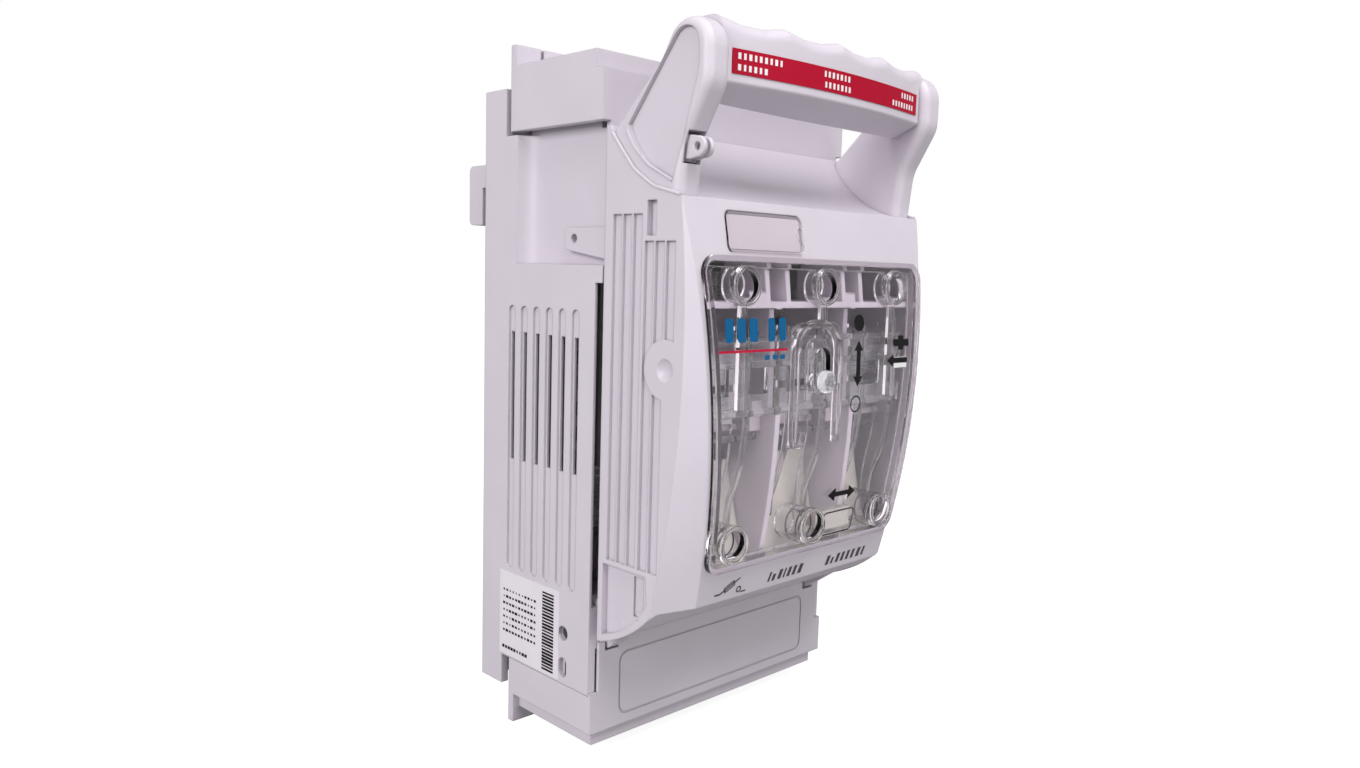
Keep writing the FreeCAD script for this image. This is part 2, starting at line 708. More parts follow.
def top_terminal_cover():
    outer = block((-HALF, HALF), (-TOP_FRONT, -TOP_REAR), (TOP_LOW, TOP_TOP))
    step = block((-HALF - 1, HALF + 1), (-TOP_FRONT - 1, -TOP_FRONT + TOP_STEP_BACK), (TOP_STEP, TOP_TOP + 1))
    hollow = join([
        block((-HALF + WALL, HALF - WALL), (-TOP_FRONT + WALL, -TOP_REAR - WALL), (TOP_LOW - 1, TOP_STEP - WALL)),
        block((-HALF + WALL, HALF - WALL), (-TOP_FRONT + TOP_STEP_BACK + WALL, -TOP_REAR - WALL),
              (TOP_STEP - WALL - 1, TOP_TOP - WALL)),
    ])
    back = block((-HALF, HALF), (-TOP_REAR - WALL, -TOP_REAR), (TOP_TOP - 1, TOP_WALL_TOP))
    slit = block((SLIT_X - SLIT_WIDTH / 2, SLIT_X + SLIT_WIDTH / 2), (-TOP_REAR - WALL - 1, -TOP_REAR + 1),
                 (TOP_TOP, TOP_WALL_TOP + 1))
    shell = join([outer.cut([step, hollow]), back]).cut(both_sides(slit))
    skirt_y = (-TOP_FRONT, -BASE_DEPTH - RUN_GAP)
    skirt = block((-TOP_SKIRT_HALF, TOP_SKIRT_HALF), skirt_y, (TOP_SKIRT_LOW, TOP_LOW + 2))
    ribs = [skirt]
    for y in (-26.0, -45.0):
        rib = block((HALF - NECK_INSET + SEAT_GAP, HALF - WALL + 0.5), (y - 1, y + 1), (TOP_LOW + 2, TOP_STEP - 2))
        ribs += both_sides(rib)
    return join([shell] + ribs)


def bottom_terminal_cover():
    top = BASE_LOW - SEAT_GAP
    box = block((-HALF, HALF), (-LOW_FRONT, -LOW_REAR), (LOW_SIDE_LOW, top))
    x_span = (-HALF + WALL, HALF - WALL)
    hollow = join([
        block(x_span, (-LOW_FRONT + WALL, -LOW_REAR - WALL), (LOW_SIDE_LOW - 1, top + 1)),
        block(x_span, (-LOW_FRONT + WALL, 0), (LEG_TOP, top + 1)),
    ])
    plate_y = (-LOW_FRONT, -LOW_FRONT + LOW_PLATE_THICK)
    shoulder = block((-HALF, HALF), plate_y, (top - 1, LOW_STEP))
    plate = block((-HALF + LOW_PLATE_INSET, HALF - LOW_PLATE_INSET), plate_y, (top - 1, LOW_PLATE_TOP))
    edge = HALF - SKIRT_INSET
    skirt = block((-edge, edge), (-LOW_FRONT + SKIRT_INSET, -LOW_REAR - 1), (SKIRT_LOW, LOW_SIDE_LOW + 2))
    skirt_hollow = block((-edge + SKIRT_THICK, edge - SKIRT_THICK), (-LOW_FRONT + SKIRT_INSET + SKIRT_THICK, 0),
                         (SKIRT_LOW - 1, LOW_SIDE_LOW + 3))
    leg = block((-HALF, HALF), (-LOW_REAR - WALL, -LOW_REAR), (LEG_LOW, LOW_SIDE_LOW + 1))
    ribs = []
    for x in (-POLE_PITCH / 2, POLE_PITCH / 2):
        half = PHASE_WALL / 2
        ribs.append(block((x - half, x + half), (-LOW_FRONT + 1, -LOW_REAR - 1), (LOW_SIDE_LOW, top)))
    shell = join([box.cut(hollow), shoulder, plate, skirt.cut(skirt_hollow), leg] + ribs)
    notch = block((ARM_INNER - 0.8, ARM_INNER + ARM_THICK + 0.8), (-LOW_FRONT - 1, -BASE_DEPTH + 1),
                  (ARM_LOW - 0.8, LOW_PLATE_TOP + 1))
    line_y = (-LOW_FRONT - 1, -LOW_FRONT + LINE_DEPTH)
    frame = block((-LINE_HALF, LINE_HALF), line_y, (LINE_LOW, LINE_TOP))
    frame = frame.makeFillet(LINE_CORNER, [e for e in frame.Edges if e.BoundBox.YLength > LINE_DEPTH])
    island = block((-LINE_HALF + LINE_WIDTH, LINE_HALF - LINE_WIDTH), line_y, (LINE_LOW + LINE_WIDTH, LINE_TOP - LINE_WIDTH))
    island = island.makeFillet(LINE_CORNER, [e for e in island.Edges if e.BoundBox.YLength > LINE_DEPTH])
    return shell.cut(both_sides(notch) + [frame.cut(island)])


def rating_label():
    return block((-HALF - LABEL_THICK, -HALF), (-LABEL_FRONT, -LABEL_REAR), (LABEL_LOW, LABEL_TOP))


def hinge_pin():
    outer = HALF - WALL + PIN_ENTRY - SEAT_GAP
    return rod(PIN_RADIUS, point(ARM_INNER, PIVOT_Y, PIVOT_Z), point(outer, PIVOT_Y, PIVOT_Z))


def face_y(z, inset=0.0):
    # Depth of the lid's curved front at height z, moved inward by inset.
    radius = FACE_RADIUS - inset
    drop = radius - math.sqrt(radius**2 - (z - FACE_APEX_Z) ** 2)
    return -FACE_APEX + inset + drop


def face_arc(low, top, inset=0.0):
    middle = (low + top) / 2
    ends = [point(0, face_y(z, inset), z) for z in (low, middle, top)]
    return arc(*ends)


def lid_outline(inset=0.0, rear=-LID_REAR):
    # Side view of the lid body: rear edge, concave top, curved front, swept bottom.
    low = LID_FRONT_LOW + inset
    top = LID_FRONT_TOP - inset
    rear_top = point(0, rear, LID_REAR_TOP - inset)
    front_top = point(0, face_y(top, inset), top)
    front_low = point(0, face_y(low, inset), low)
    side_low = point(0, -LID_SIDE_FRONT + inset, LID_SIDE_LOW + inset)
    rear_low = point(0, rear, LID_LOW + inset)
    scoop_start = point(0, -LID_REAR - 1.4, LID_REAR_TOP - inset)
    scoop = point(0, SCOOP_MID[0] + inset * 0.6, SCOOP_MID[1] - inset * 0.8)
    sag = point(0, (rear - LID_SIDE_FRONT) / 2 - 1.2 + inset / 2, (LID_LOW + LID_SIDE_LOW) / 2 - 1.6 + inset)
    edges = [
        segment(rear_low, rear_top),
        segment(rear_top, scoop_start),
        arc(scoop_start, scoop, front_top),
        face_arc(top, low, inset),
        segment(front_low, side_low),
        arc(side_low, sag, rear_low),
    ]
    return Part.Wire(Part.__sortEdges__(edges))


def bevel_point(share, inset):
    # Side end and front end of the corner bevel at a share of the way down the front.
    z = LID_FRONT_TOP + share * (LID_FRONT_LOW - LID_FRONT_TOP)
    width = BEVEL_X * share * (1 + BEVEL_SWELL_X - BEVEL_SWELL_X * share)
    depth = BEVEL_Y * share * (1 + BEVEL_SWELL_Y - BEVEL_SWELL_Y * share)
    slope_x = BEVEL_X * (1 + BEVEL_SWELL_X * (1 - 2 * share))
    slope_y = BEVEL_Y * (1 + BEVEL_SWELL_Y * (1 - 2 * share))
    if abs(share) > 0.3:
        slope_x, slope_y = width, depth
    length = math.hypot(slope_x, slope_y)
    way = point(slope_x / length, slope_y / length, 0)
    inward = point(-way.y, way.x, 0)
    front = face_y(z)
    side_end = point(HALF, front + depth, z) + inward * inset
    front_end = point(HALF - width, front, z) + inward * inset
    return side_end, front_end, way, inward


def bevel_cutter(inset=0.0):
    # The bevel starts from nothing at the top corner and widens towards the bottom.
    spare = 9.0
    sections = []
    for share in (-0.12, 0.1, 0.35, 0.6, 0.85, 1.12):
        side_end, front_end, way, inward = bevel_point(share, inset)
        a = side_end + way * spare
        b = front_end - way * spare
        sections.append(polygon([a, b, b - inward * spare, a - inward * spare]))
    return Part.makeLoft(sections, True, False)


def window_outline(grow=0.0):
    # The window narrows towards the bottom; its corners are round.
    low, top = WINDOW_LOW - grow, WINDOW_TOP + grow
    corners = [
        point(-WINDOW_HALF_LOW - grow, 0, low), point(WINDOW_HALF_LOW + grow, 0, low),
        point(WINDOW_HALF_TOP + grow, 0, top), point(-WINDOW_HALF_TOP - grow, 0, top),
    ]
    return corners


def rounded_window(grow, y_span):
    y0, y1 = sorted(y_span)
    face = Part.Face(polygon([p + point(0, y0, 0) for p in window_outline(grow)]))
    solid = face.extrude(point(0, y1 - y0, 0))
    uprights = [e for e in solid.Edges if e.BoundBox.YLength > (y1 - y0) / 2]
    return solid.makeFillet(WINDOW_CORNER + grow, uprights)


def lid_slab(inset_front, inset_back):
    # A sheet that follows the lid's curved front between two depths.
    low, top = LID_FRONT_LOW - 2, LID_FRONT_TOP + 2
    front = face_arc(low, top, inset_front)
    back = face_arc(top, low, inset_back)
    ends = [
        segment(point(0, face_y(top, inset_front), top), point(0, face_y(top, inset_back), top)),
        segment(point(0, face_y(low, inset_back), low), point(0, face_y(low, inset_front), low)),
    ]
    wire = Part.Wire([front, ends[0], back, ends[1]])
    return prism_x(wire, (-HALF, HALF))


def rounded_outline(corners):
    # A closed outline in the plane X = 0 from (y, z, radius) corners; its arcs meet the lines smoothly.
    count = len(corners)
    bends = []
    for index, (y, z, radius) in enumerate(corners):
        here = point(0, y, z)
        before = point(0, *corners[index - 1][:2])
        after = point(0, *corners[(index + 1) % count][:2])
        to_before = (before - here).normalize()
        to_after = (after - here).normalize()
        half_turn = to_before.getAngle(to_after) / 2
        setback = radius / math.tan(half_turn)
        middle = here + (to_before + to_after).normalize() * (radius / math.sin(half_turn) - radius)
        bends.append((here + to_before * setback, middle, here + to_after * setback, radius))
    edges = []
    for index, (start, middle, end, radius) in enumerate(bends):
        if radius > 0:
            edges.append(arc(start, middle, end))
        edges.append(segment(end, bends[(index + 1) % count][0]))
    return Part.Wire(edges)


def ear():
    # From the rear foot up the sloping back, over the crown and down the front to the scoop.
    foot = -LID_REAR - 2.9
    front = -FACE_APEX - 1.7
    outline = rounded_outline([
        (foot, LID_REAR_TOP + 0.2, 0), (16.0 - FACE_APEX, EAR_TOP - 8.8, 12.0), (10.6 - FACE_APEX, EAR_TOP, 8.0),
        (front, EAR_TOP, 7.8), (front, EAR_TOP - 16.4, 9.0), (6.0 - FACE_APEX, LID_FRONT_TOP + 14.0, 12.0),
        (7.6 - FACE_APEX, LID_FRONT_TOP + 0.5, 0), (9.2 - FACE_APEX, LID_FRONT_TOP - 7.5, 0),
        (foot, LID_REAR_TOP - 13.0, 0),
    ])
    solid = prism_x(outline, (HALF - EAR_THICK, HALF - EAR_STEP))
    rounds = []
    for edge in solid.Edges:
        box = edge.BoundBox
        if box.XLength < 0.01 and box.ZMin > LID_FRONT_TOP - 0.5 and box.ZMax > LID_REAR_TOP + 1.0:
            rounds.append(edge)
    return solid.makeFillet(EAR_FILLET, rounds)


def ear_panel():
    # The sunk panel on the outside of an ear; its lower edge runs parallel to the lid's concave top.
    rear = point(0, -LID_REAR - 8.0, LID_REAR_TOP - 0.2)
    front = point(0, 10.0 - FACE_APEX, LID_FRONT_TOP + 3.9)
    neck = point(0, 2.3 - FACE_APEX, EAR_TOP - 15.4)
    brow = point(0, 2.0 - FACE_APEX, EAR_TOP - 6.4)
    crown = point(0, 10.6 - FACE_APEX, EAR_TOP - 4.4)
    edges = [
        arc(rear, point(0, 20.0 - FACE_APEX, LID_FRONT_TOP + 9.5), front),
        segment(front, neck),
        arc(neck, point(0, 1.6 - FACE_APEX, EAR_TOP - 10.4), brow),
        arc(brow, point(0, 6.2 - FACE_APEX, EAR_TOP - 2.4), crown),
        segment(crown, rear),
    ]
    return prism_x(Part.Wire(edges), (HALF - EAR_STEP - EAR_PANEL_DEPTH, HALF + 1))


def bar_section(x, grow):
    # One rounded section of the handle bar; the crest rises and falls under the fingers.
    reach = HALF - EAR_THICK
    wave = math.cos(2 * math.pi * x / (2 * reach / BAR_GRIPS))
    crest = BAR_CREST - BAR_WAVE / 2 + BAR_WAVE / 2 * wave + grow
    front = -BAR_FRONT - BAR_BOW * (1 - (x / reach) ** 2) - grow
    rear = -BAR_REAR + grow
    section = rounded_outline([
        (front, BAR_LOW_FRONT - grow, BAR_CREASE), (front, crest, BAR_ROUND), (rear, crest, BAR_ROUND),
        (rear, BAR_LOW_REAR - grow, BAR_CREASE * 2),
    ])
    section.translate(point(x, 0, 0))
    return section


def handle_bar(grow=0.0, spare=1.0):
    reach = HALF - EAR_THICK
    steps = BAR_GRIPS * 3
    sections = [bar_section(-reach + 2 * reach * index / steps, grow) for index in range(steps + 1)]
    bar = Part.makeLoft(sections, True, True)
    if not spare:
        return bar
    end = Part.Face(bar_section(reach, grow)).extrude(point(spare, 0, 0))
    return join([bar] + both_sides(end))


def side_relief():
    # Grooves, round boss, small slot and lower pocket pressed into a side wall of the lid.
    x_span = (HALF - GROOVE_DEPTH, HALF + 1)
    cuts = []
    boss = rod(BOSS_RADIUS, point(HALF - WALL, -BOSS_Y, BOSS_Z), point(HALF + 2, -BOSS_Y, BOSS_Z))
    half = GROOVE_WIDTH / 2
    for index in range(GROOVE_LONG_COUNT + GROOVE_SHORT_COUNT + GROOVE_STUB_COUNT):
        y = -GROOVE_FIRST - index * GROOVE_PITCH
        top = GROOVE_LONG_TOP
        if index >= GROOVE_LONG_COUNT:
            y -= GROOVE_SHORT_STEP
            top = GROOVE_SHORT_TOP
        low = GROOVE_LOW if index < GROOVE_LONG_COUNT + GROOVE_SHORT_COUNT else BOSS_Z
        cuts.append(block(x_span, (y - half, y + half), (low, top)).cut(boss))
    dimple = Part.makeSphere(DIMPLE_SPHERE, point(HALF + DIMPLE_OUT, -BOSS_Y, BOSS_Z))
    slot = block((HALF - POCKET_DEPTH, HALF + 1), (2.1 - LID_SIDE_FRONT, 5.6 - LID_SIDE_FRONT), (LID_FRONT_TOP - 9.9, LID_FRONT_TOP - 0.8))
    low_y, high_y = 3.0 - LID_SIDE_FRONT, -LID_REAR - 2.0
    pocket_edges = [
        segment(point(0, high_y, POCKET_TOP), point(0, low_y, POCKET_TOP)),
        segment(point(0, low_y, POCKET_TOP), point(0, low_y - 0.6, LID_SIDE_LOW + 2.2)),
        arc(point(0, low_y - 0.6, LID_SIDE_LOW + 2.2), point(0, 10.6 - LID_SIDE_FRONT, LID_LOW + 7.0), point(0, high_y, LID_LOW + 2.6)),
        segment(point(0, high_y, LID_LOW + 2.6), point(0, high_y, POCKET_TOP)),
    ]
    pocket = prism_x(Part.Wire(pocket_edges), (HALF - POCKET_DEPTH, HALF + 1))
    finger = block((HALF - WALL + 0.1, HALF + 1), (5.6 - LID_SIDE_FRONT, 9.4 - LID_SIDE_FRONT), (LID_SIDE_LOW - 2.8, POCKET_TOP - 1.5))
    return cuts + [dimple, slot, pocket, finger]


def lid_inner():
    room = prism_x(lid_outline(WALL, rear=-LID_REAR + 8), (-HALF + WALL, HALF - WALL))
    return room.cut(both_sides(bevel_cutter(WALL)))


def lid_partitions(room):
    # Phase walls, the cells behind the upper rings and the ledge under them.
    front_room = room.cut(lid_slab(-30.0, 0.5))
    pieces = []
    for x in (-POLE_PITCH / 2, POLE_PITCH / 2):
        half = LID_PHASE_WALL / 2
        pieces.append(block((x - half, x + half), (-CLEAR_FRONT, -LID_PHASE_REAR), (LID_FRONT_LOW, LEDGE_Z + 1)))
        for offset in (-CELL_OFFSET, CELL_OFFSET):
            centre = x + offset
            half_cell = CELL_WALL / 2
            pieces.append(block((centre - half_cell, centre + half_cell), (-CLEAR_FRONT, -LEDGE_REAR),
                                (LEDGE_Z, LID_REAR_TOP)))
        outward = math.copysign(1, x)
        tab_x = x - outward * (CELL_OFFSET + CELL_WALL / 2 - 0.5) if x > 0 else x + outward * (CELL_OFFSET + 0.4)
        width = -6.0 if x < 0 else 6.0
        tab_y = (face_y(LEDGE_Z + 4) + 1.0, face_y(LEDGE_Z + 4) + 2.6)
        pieces.append(block((tab_x, tab_x + width), tab_y, (LEDGE_Z, LEDGE_Z + LEDGE_THICK + 6.0)))
    pieces.append(block((-HALF, HALF), (-CLEAR_FRONT, -LEDGE_REAR), (LEDGE_Z, LEDGE_Z + LEDGE_THICK)))
    for pole in POLES:
        low_x, high_x = bay(pole, WALL)
        y_span = (SHELF_FRONT, SHELF_REAR)
        pieces.append(block((low_x - 1, high_x + 1), y_span, (SHELF_Z, SHELF_Z + LEDGE_THICK)))
        pieces.append(block((high_x - STOP_WIDTH, high_x + 1), (STOP_FRONT, SHELF_REAR), (SHELF_Z, SHELF_Z + STOP_TALL)))
    walls = join([front_room.common(piece) for piece in pieces])
    return walls.cut(window_room() + [release_room(), lock_room()])


def lid_housing():
    outer = prism_x(lid_outline(), (-HALF, HALF))
    outer = outer.cut(both_sides(bevel_cutter()))
    room = lid_inner()
    ears = both_sides(ear())
    shell = join([outer] + ears)
    shell = shell.cut(room)
    shell = join([shell, handle_bar()])
    opening = rounded_window(-WINDOW_LEDGE, (-CLEAR_FRONT, -LEDGE_REAR))
    belly = block((-HALF + WALL, HALF - WALL), (8.6 - LID_SIDE_FRONT, -LID_REAR + 2), (LID_LOW - 4, LID_LOW + 15.4))
    recess = lid_slab(-30.0, CARD_RECESS).common(label_place(RUN_GAP))
    cuts = [opening, belly, recess]
    for relief in side_relief():
        cuts += both_sides(relief)
    cuts += both_sides(ear_panel())
    shell = shell.cut(cuts)
    shell = join([shell, lid_partitions(room)] + both_sides(hinge_boss()))
    bore_end = HALF - WALL + PIN_ENTRY
    bore = rod(PIN_RADIUS + PIN_RUN, point(ARM_INNER, PIVOT_Y, PIVOT_Z), point(bore_end, PIVOT_Y, PIVOT_Z))
    return shell.cut(both_sides(bore) + [seal_pocket()])


def hinge_boss():
    inner = ARM_INNER + ARM_THICK + RUN_GAP
    return rod(ARM_RADIUS, point(inner, PIVOT_Y, PIVOT_Z), point(HALF - WALL + 0.5, PIVOT_Y, PIVOT_Z))


def seal_pocket():
    half = SEAL_THICK / 2 + RUN_GAP
    tall = SEAL_HEIGHT / 2 + RUN_GAP
    rear = -SEAL_TAIL + SEAL_TRAVEL + RUN_GAP
    return block((-SEAL_X - half, -SEAL_X + half), (-FACE_APEX - 6.8, rear), (SEAL_Z - tall, SEAL_Z + tall))


def window_room():
    # What the lid's inner walls leave free for the window's rim, ribs and collars.
    y_span = (-CLEAR_FRONT, -LEDGE_REAR)
    edge = WINDOW_LEDGE + SEAT_GAP + WINDOW_RIM + RUN_GAP
    ring = rounded_window(0.0, y_span).cut(rounded_window(-edge, (-CLEAR_FRONT - 1, -LEDGE_REAR + 1)))
    room = [lid_slab(-0.5, WINDOW_RIM_DEPTH + RUN_GAP).common(ring)]
    for centre in POLES.values():
        half = WINDOW_RIB / 2 + RUN_GAP
        back = -FACE_APEX + WINDOW_RIB_DEPTH + RUN_GAP
        room.append(block((centre - half, centre + half), (-CLEAR_FRONT, back), (-2.0, RING_TOP_Z)))
        for z, depth in ((RING_TOP_Z, RING_TOP_DEPTH), (RING_LOW_Z, RING_LOW_DEPTH)):
            y = face_y(z)
            room.append(rod(RING_OUTER + RUN_GAP, point(centre, y - 3, z), point(centre, y + depth + RUN_GAP, z)))
    return room


def release_front():
    return face_y(RELEASE_Z - RELEASE_HEIGHT / 2) + 0.4


def release_room():
    reach = RELEASE_HALF + RUN_GAP
    tall = RELEASE_HEIGHT / 2 + RUN_GAP
    back = release_front() + RELEASE_THICK + RUN_GAP
    x_span = (RELEASE_X - reach, RELEASE_X + RELEASE_TRAVEL + reach)
    return block(x_span, (-CLEAR_FRONT, back), (RELEASE_Z - tall, RELEASE_Z + tall))


def ring_tubes(radius, extra):
    tubes = []
    for centre in POLES.values():
        for z, depth in ((RING_TOP_Z, RING_TOP_DEPTH), (RING_LOW_Z, RING_LOW_DEPTH)):
            front = face_y(z) - WINDOW_PROUD - RING_PROUD - extra
            back = face_y(z) + depth + extra
            tubes.append(rod(radius, point(centre, front, z), point(centre, back, z)))
    return tubes


def lock_slot(half, low, top):
    y_span = (-CLEAR_FRONT, -LEDGE_REAR)
    crown = rod(half, point(KNOB_X, y_span[0], top), point(KNOB_X, y_span[1], top))
    foot = rod(half, point(KNOB_X, y_span[0], low), point(KNOB_X, y_span[1], low))
    middle = block((KNOB_X - half, KNOB_X + half), y_span, (low, top))
    return join([middle, crown, foot])


def window_ribs():
    # Stiffening ribs moulded on the back of the window: one under each upper ring and an arch.
    depth = WINDOW_RIB_DEPTH
    half = WINDOW_RIB / 2
    ribs = []
    for pole, centre in POLES.items():
        z_span = (21.0 if pole == "middle" else -2.0, RING_TOP_Z - RING_OUTER + 1)
        ribs.append(block((centre - half, centre + half), (-CLEAR_FRONT, -FACE_APEX + depth), z_span))
    arch_left, arch_right = -12.5, 8.5
    crown = (arch_right - arch_left) / 2
    centre = (arch_left + arch_right) / 2
    arch_z = 20.5 - crown + 1.5
    y_span = (-CLEAR_FRONT, -FACE_APEX + depth)
    band = 1.4
    outer = rod(crown, point(centre, y_span[0], arch_z), point(centre, y_span[1], arch_z))
    inner = rod(crown - band, point(centre, y_span[0] - 1, arch_z), point(centre, y_span[1] + 1, arch_z))
    top_half = block((arch_left, arch_right), y_span, (arch_z, arch_z + crown))
    ribs.append(outer.cut(inner).common(top_half))
    for x in (arch_left, arch_right - band):
        ribs.append(block((x, x + band), y_span, (-14.0, arch_z)))
    return [rib.cut(lid_slab(-30.0, 0.0)) for rib in ribs]


def window():
    plate = lid_slab(-WINDOW_PROUD, -SEAT_GAP).common(rounded_window(0.0, (-CLEAR_FRONT, -LEDGE_REAR)))
    rim_outer = rounded_window(-WINDOW_LEDGE - SEAT_GAP, (-CLEAR_FRONT, -LEDGE_REAR))
    rim_inner = rounded_window(-WINDOW_LEDGE - SEAT_GAP - WINDOW_RIM, (-CLEAR_FRONT - 1, -LEDGE_REAR + 1))
    rim = lid_slab(-0.5, WINDOW_RIM_DEPTH).common(rim_outer.cut(rim_inner))
    sheet = join([plate, rim] + ring_tubes(RING_OUTER, 0.0) + window_ribs())
    bores = ring_tubes(RING_INNER, 1.0)
    slot = lock_slot(STEM_RADIUS + RUN_GAP, KNOB_Z, KNOB_Z + LOCK_TRAVEL)
    return sheet.cut(bores + [slot])


def lock_slide():
    # A clear bar right across the lid; the knob lifts it and it blocks or frees the handle.
    front = LOCK_FRONT
    bar = block((-LOCK_HALF, LOCK_HALF), (front, front + LOCK_PLATE), (LOCK_LOW, LOCK_TOP))
    windows = []
    for centre in POLES.values():
        for side in (-1, 1):
            x_span = (centre + side * 3.0, centre + side * 12.6)
            windows.append(block(x_span, (front - 1, front + LOCK_PLATE + 1), (LOCK_LOW + 6.0, LOCK_TOP - 7.0)))
    ribs = [
        block((-LOCK_HALF, LOCK_HALF), (front, front + LOCK_RIB), (z, z + LOCK_PLATE))
        for z in (LOCK_LOW, LOCK_TOP - 8.4, LOCK_TOP - LOCK_PLATE)
    ]
    stem = rod(STEM_RADIUS, point(KNOB_X, front + 0.5, KNOB_Z),
               point(KNOB_X, -FACE_APEX - WINDOW_PROUD - RUN_GAP, KNOB_Z))
    return join([bar.cut(windows)] + ribs + [stem])


def lock_room():
    # The slot in the phase walls that the cross bar travels in.
    z_span = (LOCK_LOW - RUN_GAP, LOCK_TOP + LOCK_TRAVEL + RUN_GAP)
    y_span = (-CLEAR_FRONT, LOCK_FRONT + LOCK_RIB + RUN_GAP)
    return block((-LOCK_HALF - RUN_GAP, LOCK_HALF + RUN_GAP), y_span, z_span)


def lock_knob():
    # The knurl is a ring of blunt teeth; the front rim is chamfered.
    rear = -FACE_APEX - WINDOW_PROUD - RUN_GAP
    corners = []
    for index in range(KNOB_FLUTES * 2):
        angle = math.pi * index / KNOB_FLUTES
        radius = KNOB_RADIUS - (index % 2) * 0.5
        corners.append(point(KNOB_X + radius * math.cos(angle), rear, KNOB_Z + radius * math.sin(angle)))
    teeth = Part.Face(polygon(corners)).extrude(point(0, -KNOB_LENGTH, 0))
    chamfer = Part.makeCone(KNOB_RADIUS + KNOB_LENGTH - 0.5, KNOB_RADIUS - 0.5, KNOB_LENGTH,
                            point(KNOB_X, rear, KNOB_Z), point(0, -1, 0))
    return teeth.common(chamfer)


def release_slide():
    front = release_front()
    bar = block((RELEASE_X - RELEASE_HALF, RELEASE_X + RELEASE_HALF), (front, front + RELEASE_THICK),
                (RELEASE_Z - RELEASE_HEIGHT / 2, RELEASE_Z + RELEASE_HEIGHT / 2))
    grip = block((RELEASE_X - RELEASE_HALF, RELEASE_X - RELEASE_HALF + 3.2), (front, front + 5),
                 (RELEASE_Z - RELEASE_HEIGHT / 2 + 0.8, RELEASE_Z + RELEASE_HEIGHT / 2 - 0.4))
    return join([bar, grip])


def seal_slide():
    z_span = (SEAL_Z - SEAL_HEIGHT / 2, SEAL_Z + SEAL_HEIGHT / 2)
    body = block((-SEAL_X - SEAL_THICK / 2, -SEAL_X + SEAL_THICK / 2), (-SEAL_NOSE, -SEAL_TAIL), z_span)
    nose = [e for e in body.Edges if abs(e.BoundBox.YMax + SEAL_NOSE) < 0.01 and e.BoundBox.XLength > 1]
    body = body.makeFillet(SEAL_HEIGHT / 2 - 0.2, nose)
    fork = block((-SEAL_X - SEAL_SLOT / 2, -SEAL_X + SEAL_SLOT / 2), (-SEAL_NOSE - 1, -SEAL_NOSE + 6), z_span)
    eye_y = -SEAL_NOSE + SEAL_HEIGHT / 2
    eye = rod(SEAL_EYE, point(-HALF - 2, eye_y, SEAL_Z), point(-HALF + 12, eye_y, SEAL_Z))
    return body.cut([fork, eye])


def seal_strap():
    outer = HALF - WALL
    outline = side_polygon([
        (-STRAP_REAR, STRAP_TOP), (-STRAP_FRONT, STRAP_TOP), (-STRAP_FRONT, STRAP_LOW_FRONT),
        (-LID_REAR, STRAP_LOW_FRONT), (-STRAP_REAR, STRAP_LOW_REAR),
    ])
    strap = prism_x(outline, (outer - STRAP_THICK, outer))
    rear_edges = [e for e in strap.Edges if abs(e.BoundBox.YMin + STRAP_REAR) < 0.01 and e.BoundBox.XLength > 1]
    strap = strap.makeFillet(1.2, rear_edges)
    eye = rod(STRAP_EYE, point(outer - 5, -STRAP_EYE_Y, STRAP_EYE_Z), point(outer + 2, -STRAP_EYE_Y, STRAP_EYE_Z))
    return strap.cut(eye)


def label_place(grow):
    x_span = (CARD_LEFT - grow, CARD_RIGHT + grow)
    place = block(x_span, (-CLEAR_FRONT, -LEDGE_REAR), (CARD_LOW - grow, CARD_TOP + grow))
    return place.makeFillet(CARD_CORNER + grow, [e for e in place.Edges if e.BoundBox.YLength > 1])


def label_card():
    plate = lid_slab(CARD_RECESS - CARD_THICK, CARD_RECESS)
    return plate.common(label_place(-0.8))


def label_cover():
    under = CARD_RECESS - CARD_THICK - SEAT_GAP
    front = under - CARD_COVER
    outer = label_place(0.0)
    frame = lid_slab(front, CARD_RECESS).common(outer.cut(label_place(-0.7)))
    cover = join([lid_slab(front, under).common(outer), frame])
    middle = (CARD_LOW + CARD_TOP) / 2
    notch = rod(CARD_NOTCH, point(CARD_RIGHT, -CLEAR_FRONT, middle), point(CARD_RIGHT, 0, middle))
    return cover.cut(notch)


def grip_label():
    skin = handle_bar(BAND_THICK, 0)
    band = block((-BAND_HALF, BAND_HALF), (-CLEAR_FRONT, -BAR_FRONT + 3.4), (BAND_LOW, BAND_TOP))
    return skin.common(band).cut(handle_bar(0.0, 0))


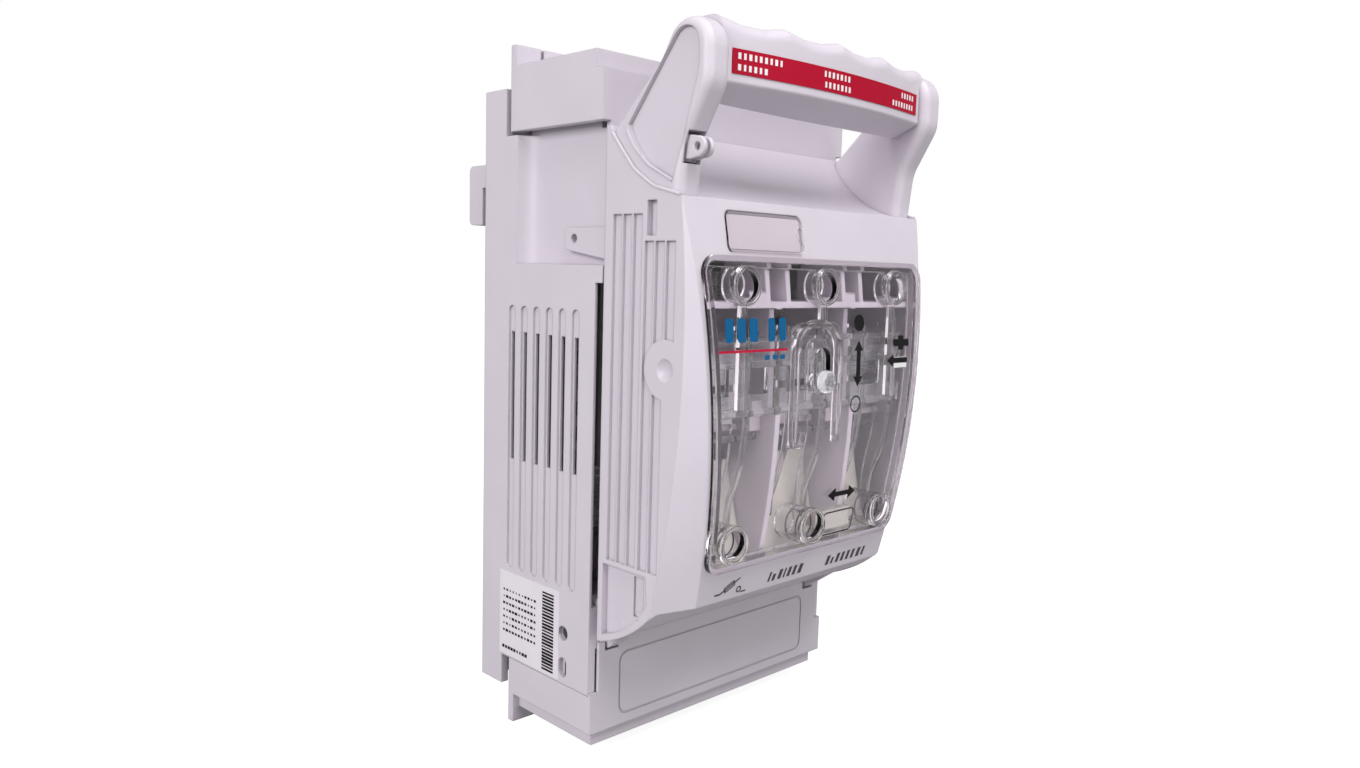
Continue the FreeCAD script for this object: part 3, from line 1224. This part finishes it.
def link_carrier(pole):
    # Two clear cheeks with an S-shaped lower finger, tied by webs to the phase walls.
    centre = POLES[pole]
    front_y = CARRIER_FRONT
    back_y = CARRIER_FRONT + CARRIER_DEEP
    tip = -36.0
    front = [
        segment(point(0, front_y, 20.0), point(0, front_y, -8.0)),
        arc(point(0, front_y, -8.0), point(0, front_y + 1.0, -17.0), point(0, front_y + 3.8, -25.0)),
        arc(point(0, front_y + 3.8, -25.0), point(0, front_y + 5.8, -31.0), point(0, front_y + 6.2, tip)),
    ]
    back = [
        arc(point(0, back_y + 3.8, tip), point(0, back_y + 3.4, -29.0), point(0, back_y + 1.6, -20.0)),
        arc(point(0, back_y + 1.6, -20.0), point(0, back_y + 0.5, -14.0), point(0, back_y, -8.0)),
        segment(point(0, back_y, -8.0), point(0, back_y, 20.0)),
    ]
    foot = segment(point(0, front_y + 6.2, tip), point(0, back_y + 3.8, tip))
    head = segment(point(0, back_y, 20.0), point(0, front_y, 20.0))
    wire = Part.Wire(front + [foot] + back + [head])
    pieces = []
    for side in (-1, 1):
        x = centre + side * CARRIER_HALF
        pieces.append(prism_x(wire, (x - CARRIER_SHEET / 2, x + CARRIER_SHEET / 2)))
    inner_wall = POLE_PITCH / 2 - LID_PHASE_WALL / 2 - SEAT_GAP
    low_x = centre - inner_wall if pole != "left" else centre - CARRIER_HALF
    high_x = centre + inner_wall if pole != "right" else centre + CARRIER_HALF
    for z in CARRIER_WEB_Z:
        pieces.append(block((low_x, high_x), (back_y - CARRIER_WEB_BACK, back_y), (z, z + CARRIER_SHEET)))
    return join(pieces)


def carrier_clip(centre, low):
    # A steel spring that holds the gripping lug of a fuse-link.
    half = CARRIER_HALF - CARRIER_SHEET / 2 - SEAT_GAP
    seat = CARRIER_FRONT + CARRIER_DEEP - CLIP_THICK
    plate = block((centre - half, centre + half), (seat, seat + CLIP_THICK), (low, low + CLIP_HEIGHT))
    lip = block((centre - half + 2, centre + half - 2), (seat, seat + 4.6), (low, low + CLIP_THICK))
    return join([plate, lip])


def lower_guard(pole):
    # A curved off-white sheet behind the lower rings that closes each pole's bay.
    low_x, high_x = -HALF + WALL, HALF - WALL
    centre = POLES[pole]
    inner_wall = POLE_PITCH / 2 - LID_PHASE_WALL / 2 - SEAT_GAP
    if pole != "left":
        low_x = centre - inner_wall
    if pole != "right":
        high_x = centre + inner_wall
    foot = GUARD_FOOT - FACE_APEX
    head = GUARD_HEAD - FACE_APEX
    low = LID_FRONT_LOW + GUARD_RISE
    top = low + GUARD_TALL

    def bend(step):
        return arc(point(0, foot + step, low), point(0, foot + 4.8 + step, low + 14.0), point(0, head + step, top))
    front = bend(0.0)
    back = bend(GUARD_SHEET)
    ends = [
        segment(point(0, head, top), point(0, head + GUARD_SHEET, top)),
        segment(point(0, foot + GUARD_SHEET, low), point(0, foot, low)),
    ]
    wire = Part.Wire(Part.__sortEdges__([front, ends[0], back, ends[1]]))
    x_low = max(low_x, -HALF + BEVEL_X)
    x_high = min(high_x, HALF - BEVEL_X)
    return prism_x(wire, (x_low, x_high))


def export(name, shapes):
    solids = shapes if isinstance(shapes, list) else [shapes]
    shape = solids[0] if len(solids) == 1 else Part.makeCompound(solids)
    shape.exportStep("parts/" + name + ".step")
    print(name, len(shape.Solids), round(shape.Volume), shape.isValid())


def main():
    os.makedirs("parts", exist_ok=True)
    centres = list(POLES.values())
    export("base_housing", base_housing())
    export("clamp_screws", [clamp_screw(pole) for pole in POLES])
    export("upper_jaw_springs", [jaw_spring(x, JAW_TOP_Z) for x in centres])
    export("lower_jaw_springs", [jaw_spring(x, JAW_LOW_Z) for x in centres])
    export("terminal_screws", [terminal_screw(x) for x in centres])
    export("terminal_washers", [terminal_washer(x) for x in centres])
    export("terminal_nuts", [terminal_nut(x) for x in centres])
    for pole, centre in POLES.items():
        strip_front = -BACK_WALL - STRIP_GAP - STRIP_THICK
        export("busbar_hook_" + pole, busbar_hook(pole))
        export("contact_strip_" + pole, contact_strip(pole))
        export("terminal_rail_" + pole, terminal_rail(pole))
        export("upper_jaw_" + pole, jaw(centre, JAW_TOP_Z, strip_front))
        export("lower_jaw_" + pole, jaw(centre, JAW_LOW_Z, -RAIL_REAR - RAIL_THICK))
        export("arc_chamber_" + pole, arc_chamber(pole))
        export("arc_plates_" + pole, arc_plates(pole))
        export("link_carrier_" + pole, link_carrier(pole))
        export("lower_guard_" + pole, lower_guard(pole))
    export("top_terminal_cover", top_terminal_cover())
    export("bottom_terminal_cover", bottom_terminal_cover())
    export("rating_label", rating_label())
    export("hinge_pins", both_sides(hinge_pin()))
    export("lid_housing", lid_housing())
    export("window", window())
    export("label_card", label_card())
    export("label_cover", label_cover())
    export("grip_label", grip_label())
    export("carrier_clips", [carrier_clip(x, z) for x in centres for z in (4.0, -7.0)])
    export("lock_slide", lock_slide())
    export("lock_knob", lock_knob())
    export("release_slide", release_slide())
    export("seal_slide", seal_slide())
    strap = seal_strap()
    export("seal_strap_right", strap)
    export("seal_strap_left", mirror(strap))


main()
